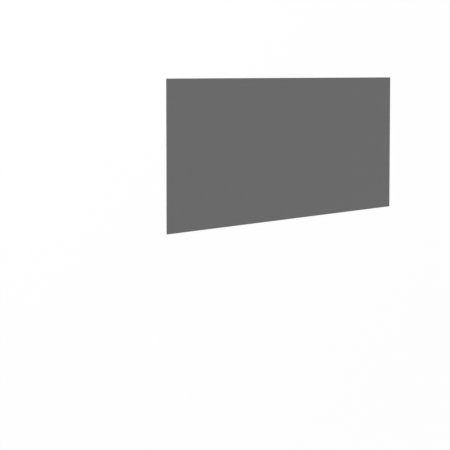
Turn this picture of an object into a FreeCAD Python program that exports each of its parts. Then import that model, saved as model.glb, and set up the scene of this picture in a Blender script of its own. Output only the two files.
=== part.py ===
import FreeCAD, Part
import os

# Privacy filter: one frameless rectangle of dark laminated film, cut to the 24-inch 16:9 size.
# The sheet lies flat with its viewing face up. +X runs along its width, +Y points to its top edge,
# +Z points out of its viewing face, and the origin is the middle of its back face.

# Driving dimensions, in millimetres
SHEET_WIDTH = 531.0
SHEET_HEIGHT = 299.0
SHEET_THICKNESS = 0.55
CORNER_RADIUS = 1.0
RIM_RADIUS = 0.1

# Least share of the thickness that stays square to the faces between the two eased rims
LEAST_SQUARE_SHARE = 0.2

UP = FreeCAD.Vector(0, 0, 1)
QUARTER_TURN = 90


def rounded_rectangle(width, height, radius):
    """Return a flat face centred on the origin, with a quarter arc at each corner."""
    centre_x = width / 2 - radius
    centre_y = height / 2 - radius
    centres = [(centre_x, centre_y), (-centre_x, centre_y), (-centre_x, -centre_y), (centre_x, -centre_y)]
    arcs = []
    for corner, (x, y) in enumerate(centres):
        start = corner * QUARTER_TURN
        arcs.append(Part.makeCircle(radius, FreeCAD.Vector(x, y, 0), UP, start, start + QUARTER_TURN))
    outline = []
    for arc, next_arc in zip(arcs, arcs[1:] + arcs[:1]):
        side = Part.makeLine(arc.lastVertex().Point, next_arc.firstVertex().Point)
        outline += [arc, side]
    return Part.Face(Part.Wire(outline))


def ease_rims(sheet, thickness, radius):
    """Round the edges where the cut side meets the two faces, as far as the thickness allows."""
    largest = thickness * (1 - LEAST_SQUARE_SHARE) / 2
    rims = [edge for edge in sheet.Edges if edge.BoundBox.ZLength < thickness / 2]
    return sheet.makeFillet(min(radius, largest), rims)


def make_filter_sheet():
    """Cut the film to its outline and ease both rims of the cut."""
    outline = rounded_rectangle(SHEET_WIDTH, SHEET_HEIGHT, CORNER_RADIUS)
    blank = outline.extrude(UP * SHEET_THICKNESS)
    return ease_rims(blank, SHEET_THICKNESS, RIM_RADIUS)


os.makedirs("parts", exist_ok=True)
make_filter_sheet().exportStep("parts/filter_sheet.step")
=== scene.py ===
import bmesh
import bpy
import math
from mathutils import Matrix, Vector


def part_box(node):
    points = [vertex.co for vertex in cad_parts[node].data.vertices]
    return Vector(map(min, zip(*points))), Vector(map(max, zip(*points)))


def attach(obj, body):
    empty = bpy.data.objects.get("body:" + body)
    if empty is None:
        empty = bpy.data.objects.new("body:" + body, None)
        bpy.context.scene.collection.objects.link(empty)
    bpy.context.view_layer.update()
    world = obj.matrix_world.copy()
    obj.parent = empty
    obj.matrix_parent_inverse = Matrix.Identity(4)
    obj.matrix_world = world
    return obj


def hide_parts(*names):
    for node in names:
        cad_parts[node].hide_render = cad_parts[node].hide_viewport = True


# A privacy filter that lies flat on a white table, seen from above and from its left.
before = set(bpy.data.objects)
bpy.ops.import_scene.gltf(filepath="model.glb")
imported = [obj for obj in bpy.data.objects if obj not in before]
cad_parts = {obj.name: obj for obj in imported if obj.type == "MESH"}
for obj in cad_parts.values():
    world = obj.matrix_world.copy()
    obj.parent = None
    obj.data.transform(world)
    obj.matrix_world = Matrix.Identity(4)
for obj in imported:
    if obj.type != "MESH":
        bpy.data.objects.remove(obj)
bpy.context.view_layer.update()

SHEET_LOW, SHEET_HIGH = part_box("filter_sheet")
FACE_CENTRE = Vector((0, 0, SHEET_HIGH.z))
MM = 0.001
QUARTER_TURN = math.pi / 2

# Film form: the solid's rounded corners and eased rims, and the facets in each quarter turn
CORNER_RADIUS = 1.0 * MM
RIM_RADIUS = 0.1 * MM
CORNER_STEPS = 10
RIM_STEPS = 4

# Film body: a near-black tint, the share of light that each face stops, and how strongly it mirrors
FILM_COLOUR = (0.006, 0.006, 0.006, 1)
FILM_ALPHA = 0.603
FILM_SPECULAR = 0.15

# Film finish, as roughness: a matte viewing face and a glossy back, both a little cloudy
VIEWING_ROUGHNESS = 0.48
BACK_ROUGHNESS = 0.2
CLOUD_SIZE = 30 * MM
CLOUD_DETAIL = 3
CLOUD_SPREAD = 0.1

# Film relief: long gentle ripples, the louvre lines that run from top to bottom, and the coats' fine grain
RIPPLE_SIZE = 50 * MM
RIPPLE_STRETCH = (1, 3, 1)
RIPPLE_DETAIL = 1
RIPPLE_HEIGHT = 0.15 * MM
LOUVRE_PITCH = 0.1 * MM
LOUVRE_HEIGHT = 0.0005 * MM
GRAIN_SIZE = 0.08 * MM
GRAIN_DETAIL = 2
VIEWING_GRAIN_HEIGHT = 0.01 * MM
BACK_GRAIN_HEIGHT = 0.001 * MM

# Turns that a wave texture of scale 1 makes in one metre
WAVE_TURNS = 20 / math.tau

# Cut side: the film seen edge on, deep enough to stop all light, with fine drag lines from the knife
CUT_COLOUR = (0.012, 0.012, 0.012, 1)
CUT_SPECULAR = 0.3
CUT_ROUGHNESS = 0.5
CUT_ROUGHNESS_SPREAD = 0.2
DRAG_SIZE = 0.08 * MM
DRAG_STRETCH = (1, 1, 12)
DRAG_DETAIL = 2
DRAG_HEIGHT = 0.008 * MM

# Camera: places in metres from the middle of the viewing face, and the direction that is up in the picture
CAMERA_PLACE = Vector((-0.508, 0.163, 0.908))
CAMERA_AIM = Vector((-0.145, 0.144, 0))
CAMERA_UP = Vector((0, 1, 0))
CAMERA_LENS_MM = 39.2
CAMERA_SENSOR_MM = 36
CAMERA_SHIFT_Y = -0.32

# Table: sizes in metres, and the share of its white that takes light and shadow, which fades out far off
TABLE_SIZE = 40
TABLE_GAP = 0.2 * MM
TABLE_COLOUR = (0.95, 0.95, 0.95, 1)
TABLE_SHADED_SHARE = 0.2
TABLE_FADE_START = 0.4
TABLE_FADE_END = 2.0

# Light: even light from all round, and one soft box behind the sheet's top left corner, in metres
WHITE = (1, 1, 1, 1)
WORLD_STRENGTH = 0.85
KEY_PLACE = Vector((-2.2, 2.2, 2.0))
KEY_SIZE = 2.2
KEY_WATTS = 45


def add_node(tree, kind, **settings):
    """Add a node to a tree and set its named properties."""
    node = tree.nodes.new(kind)
    for name, value in settings.items():
        setattr(node, name, value)
    return node


def new_material(name):
    """A material with an empty node tree and an output node."""
    material = bpy.data.materials.new(name)
    material.use_nodes = True
    material.node_tree.nodes.clear()
    return material, material.node_tree, add_node(material.node_tree, "ShaderNodeOutputMaterial")


def noise(tree, place, size, detail, stretch=(1, 1, 1)):
    """Soft random spots of about a size, drawn out along each axis by a stretch, from 0 to 1."""
    drawn = add_node(tree, "ShaderNodeMapping")
    drawn.inputs["Scale"].default_value = [1 / length for length in stretch]
    spots = add_node(tree, "ShaderNodeTexNoise")
    spots.inputs["Scale"].default_value = 1 / size
    spots.inputs["Detail"].default_value = detail
    tree.links.new(place, drawn.inputs["Vector"])
    tree.links.new(drawn.outputs["Vector"], spots.inputs["Vector"])
    return spots.outputs["Fac"]


def spread_about(tree, pattern, middle, spread):
    """A pattern from 0 to 1, brought to a range about a middle value."""
    ranged = add_node(tree, "ShaderNodeMapRange")
    ranged.inputs["To Min"].default_value = middle - spread / 2
    ranged.inputs["To Max"].default_value = middle + spread / 2
    tree.links.new(pattern, ranged.inputs["Value"])
    return ranged.outputs["Result"]


def bump(tree, pattern, height, under=None):
    """A normal that follows a height pattern, laid over another normal."""
    raised = add_node(tree, "ShaderNodeBump")
    raised.inputs["Distance"].default_value = height
    tree.links.new(pattern, raised.inputs["Height"])
    if under is not None:
        tree.links.new(under, raised.inputs["Normal"])
    return raised.outputs["Normal"]


def film_relief(tree, place, grain_height):
    """The ripples, with the louvre lines over them and the grain over both."""
    ripples = noise(tree, place, RIPPLE_SIZE, RIPPLE_DETAIL, RIPPLE_STRETCH)
    louvres = add_node(tree, "ShaderNodeTexWave", wave_type="BANDS", bands_direction="X")
    louvres.inputs["Scale"].default_value = 1 / (LOUVRE_PITCH * WAVE_TURNS)
    tree.links.new(place, louvres.inputs["Vector"])
    grain = noise(tree, place, GRAIN_SIZE, GRAIN_DETAIL)
    normal = bump(tree, ripples, RIPPLE_HEIGHT)
    normal = bump(tree, louvres.outputs["Fac"], LOUVRE_HEIGHT, normal)
    return bump(tree, grain, grain_height, normal)


def face_material(name, roughness, grain_height):
    """Dark see-through film under a coat with a finish of its own."""
    material, tree, out = new_material(name)
    coat = add_node(tree, "ShaderNodeBsdfPrincipled")
    coat.inputs["Base Color"].default_value = FILM_COLOUR
    coat.inputs["Alpha"].default_value = FILM_ALPHA
    coat.inputs["Specular IOR Level"].default_value = FILM_SPECULAR
    place = add_node(tree, "ShaderNodeTexCoord").outputs["Object"]
    clouds = noise(tree, place, CLOUD_SIZE, CLOUD_DETAIL)
    tree.links.new(spread_about(tree, clouds, roughness, CLOUD_SPREAD), coat.inputs["Roughness"])
    tree.links.new(film_relief(tree, place, grain_height), coat.inputs["Normal"])
    tree.links.new(coat.outputs[0], out.inputs["Surface"])
    return material


def cut_material():
    """The die-cut side: dull, as good as black, and scored across the thickness."""
    material, tree, out = new_material("cut_side")
    cut = add_node(tree, "ShaderNodeBsdfPrincipled")
    cut.inputs["Base Color"].default_value = CUT_COLOUR
    cut.inputs["Specular IOR Level"].default_value = CUT_SPECULAR
    place = add_node(tree, "ShaderNodeTexCoord").outputs["Object"]
    drag = noise(tree, place, DRAG_SIZE, DRAG_DETAIL, DRAG_STRETCH)
    tree.links.new(spread_about(tree, drag, CUT_ROUGHNESS, CUT_ROUGHNESS_SPREAD), cut.inputs["Roughness"])
    tree.links.new(bump(tree, drag, DRAG_HEIGHT), cut.inputs["Normal"])
    tree.links.new(cut.outputs[0], out.inputs["Surface"])
    return material


def corner_centres():
    """The middles of the four corner arcs, one for each quarter turn, starting at the top right."""
    x = SHEET_HIGH.x - CORNER_RADIUS
    y = SHEET_HIGH.y - CORNER_RADIUS
    return [(x, y), (-x, y), (-x, -y), (x, -y)]


def outline_arcs(inset):
    """The points of the four corner arcs, at an inset from the sheet's edges."""
    radius = CORNER_RADIUS - inset
    arcs = []
    for quarter, (x, y) in enumerate(corner_centres()):
        turns = [QUARTER_TURN * (quarter + step / CORNER_STEPS) for step in range(CORNER_STEPS + 1)]
        arcs.append([(x + radius * math.cos(turn), y + radius * math.sin(turn)) for turn in turns])
    return arcs


def cut_section():
    """Insets and heights up the cut side, from the back face round both eased rims to the viewing face."""
    turns = [QUARTER_TURN * step / RIM_STEPS for step in range(RIM_STEPS + 1)]
    eased = [(RIM_RADIUS * (1 - math.sin(turn)), RIM_RADIUS * (1 - math.cos(turn))) for turn in turns]
    lower = [(inset, SHEET_LOW.z + rise) for inset, rise in eased]
    upper = [(inset, SHEET_HIGH.z - rise) for inset, rise in reversed(eased)]
    return lower + upper


def add_cut_side(form, levels, finish):
    """Join each level's points to those of the level above, all the way round."""
    rings = [[point for arc in arcs for point in arc] for arcs in levels]
    for lower, upper in zip(rings, rings[1:]):
        for i in range(len(lower)):
            facet = form.faces.new((lower[i - 1], lower[i], upper[i], upper[i - 1]))
            facet.material_index = finish
            facet.smooth = True


def add_face(form, arcs, finish, faces_up):
    """Close one end of the cut side: a middle panel, a strip along each side and a fan in each corner."""
    height = arcs[0][0].co.z
    centres = [form.verts.new((x, y, height)) for x, y in corner_centres()]
    panels = [centres]
    for i, arc in enumerate(arcs):
        panels += [[centres[i], start, end] for start, end in zip(arc, arc[1:])]
        panels.append([centres[i - 1], arcs[i - 1][-1], arc[0], centres[i]])
    for panel in panels:
        face = form.faces.new(panel if faces_up else panel[::-1])
        face.material_index = finish


def make_film():
    """The film as one closed mesh, with a finish for its viewing face, its back and its cut side."""
    finishes = [
        face_material("viewing_face", VIEWING_ROUGHNESS, VIEWING_GRAIN_HEIGHT),
        face_material("back_face", BACK_ROUGHNESS, BACK_GRAIN_HEIGHT),
        cut_material(),
    ]
    viewing, back, cut = range(len(finishes))
    form = bmesh.new()
    levels = []
    for inset, height in cut_section():
        levels.append([[form.verts.new((x, y, height)) for x, y in arc] for arc in outline_arcs(inset)])
    add_cut_side(form, levels, cut)
    add_face(form, levels[-1], viewing, True)
    add_face(form, levels[0], back, False)
    mesh = bpy.data.meshes.new("privacy_film")
    form.to_mesh(mesh)
    form.free()
    for finish in finishes:
        mesh.materials.append(finish)
    film = bpy.data.objects.new("privacy_film", mesh)
    bpy.context.scene.collection.objects.link(film)
    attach(film, "root")
    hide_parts("filter_sheet")


def seen_by_camera(tree):
    """A value of 1 for what is seen, straight, in a mirror or through glass, and 0 for other light."""
    path = add_node(tree, "ShaderNodeLightPath")
    seen = path.outputs["Is Camera Ray"]
    for kind in ("Is Glossy Ray", "Is Transmission Ray"):
        either = add_node(tree, "ShaderNodeMath", operation="MAXIMUM")
        tree.links.new(seen, either.inputs[0])
        tree.links.new(path.outputs[kind], either.inputs[1])
        seen = either.outputs[0]
    return seen


def table_material():
    """A table that looks mostly plain white, with a share near the sheet that takes light and shadow."""
    material, tree, out = new_material("table_white")
    shaded = add_node(tree, "ShaderNodeBsdfDiffuse")
    shaded.inputs["Color"].default_value = TABLE_COLOUR
    white = add_node(tree, "ShaderNodeEmission")
    place = add_node(tree, "ShaderNodeTexCoord").outputs["Object"]
    distance = add_node(tree, "ShaderNodeVectorMath", operation="LENGTH")
    plain = add_node(tree, "ShaderNodeMapRange", interpolation_type="SMOOTHSTEP")
    plain.inputs["From Min"].default_value = TABLE_FADE_START
    plain.inputs["From Max"].default_value = TABLE_FADE_END
    plain.inputs["To Min"].default_value = 1 - TABLE_SHADED_SHARE
    share = add_node(tree, "ShaderNodeMath", operation="MULTIPLY")
    mix = add_node(tree, "ShaderNodeMixShader")
    tree.links.new(place, distance.inputs[0])
    tree.links.new(distance.outputs["Value"], plain.inputs["Value"])
    tree.links.new(plain.outputs["Result"], share.inputs[0])
    tree.links.new(seen_by_camera(tree), share.inputs[1])
    tree.links.new(share.outputs[0], mix.inputs["Fac"])
    tree.links.new(shaded.outputs[0], mix.inputs[1])
    tree.links.new(white.outputs[0], mix.inputs[2])
    tree.links.new(mix.outputs[0], out.inputs["Surface"])
    return material


def make_table():
    """A wide white table a hair below the sheet, so that no two faces coincide."""
    bpy.ops.mesh.primitive_plane_add(size=TABLE_SIZE, location=(0, 0, SHEET_LOW.z - TABLE_GAP))
    table = bpy.context.object
    table.name = "table"
    table.data.materials.append(table_material())


def make_world():
    """Even soft light from all round, and white where the camera looks past the table."""
    world = bpy.data.worlds.new("studio")
    bpy.context.scene.world = world
    world.use_nodes = True
    tree = world.node_tree
    tree.nodes.clear()
    light = add_node(tree, "ShaderNodeBackground")
    light.inputs["Color"].default_value = WHITE
    light.inputs["Strength"].default_value = WORLD_STRENGTH
    white = add_node(tree, "ShaderNodeBackground")
    white.inputs["Color"].default_value = WHITE
    mix = add_node(tree, "ShaderNodeMixShader")
    out = add_node(tree, "ShaderNodeOutputWorld")
    tree.links.new(seen_by_camera(tree), mix.inputs["Fac"])
    tree.links.new(light.outputs[0], mix.inputs[1])
    tree.links.new(white.outputs[0], mix.inputs[2])
    tree.links.new(mix.outputs[0], out.inputs["Surface"])


def make_key_light():
    """One soft box, turned to the sheet. From the camera's side its reflection falls beside the sheet."""
    lamp = bpy.data.lights.new("key", "AREA")
    lamp.size = KEY_SIZE
    lamp.energy = KEY_WATTS
    key = bpy.data.objects.new("key", lamp)
    bpy.context.scene.collection.objects.link(key)
    key.location = KEY_PLACE
    key.rotation_mode = "QUATERNION"
    key.rotation_quaternion = (FACE_CENTRE - KEY_PLACE).to_track_quat("-Z", "Y")


def make_camera():
    """A camera above the sheet and to its left, with no roll about its own axis."""
    lens = bpy.data.cameras.new("camera")
    lens.sensor_width = CAMERA_SENSOR_MM
    lens.lens = CAMERA_LENS_MM
    lens.shift_y = CAMERA_SHIFT_Y
    camera = bpy.data.objects.new("camera", lens)
    bpy.context.scene.collection.objects.link(camera)
    back = (CAMERA_PLACE - CAMERA_AIM).normalized()
    right = CAMERA_UP.cross(back).normalized()
    turn = Matrix((right, back.cross(right), back)).transposed()
    camera.matrix_world = Matrix.Translation(FACE_CENTRE + CAMERA_PLACE) @ turn.to_4x4()
    bpy.context.scene.camera = camera


bpy.context.scene.view_settings.view_transform = "Standard"
make_film()
make_table()
make_world()
make_key_light()
make_camera()
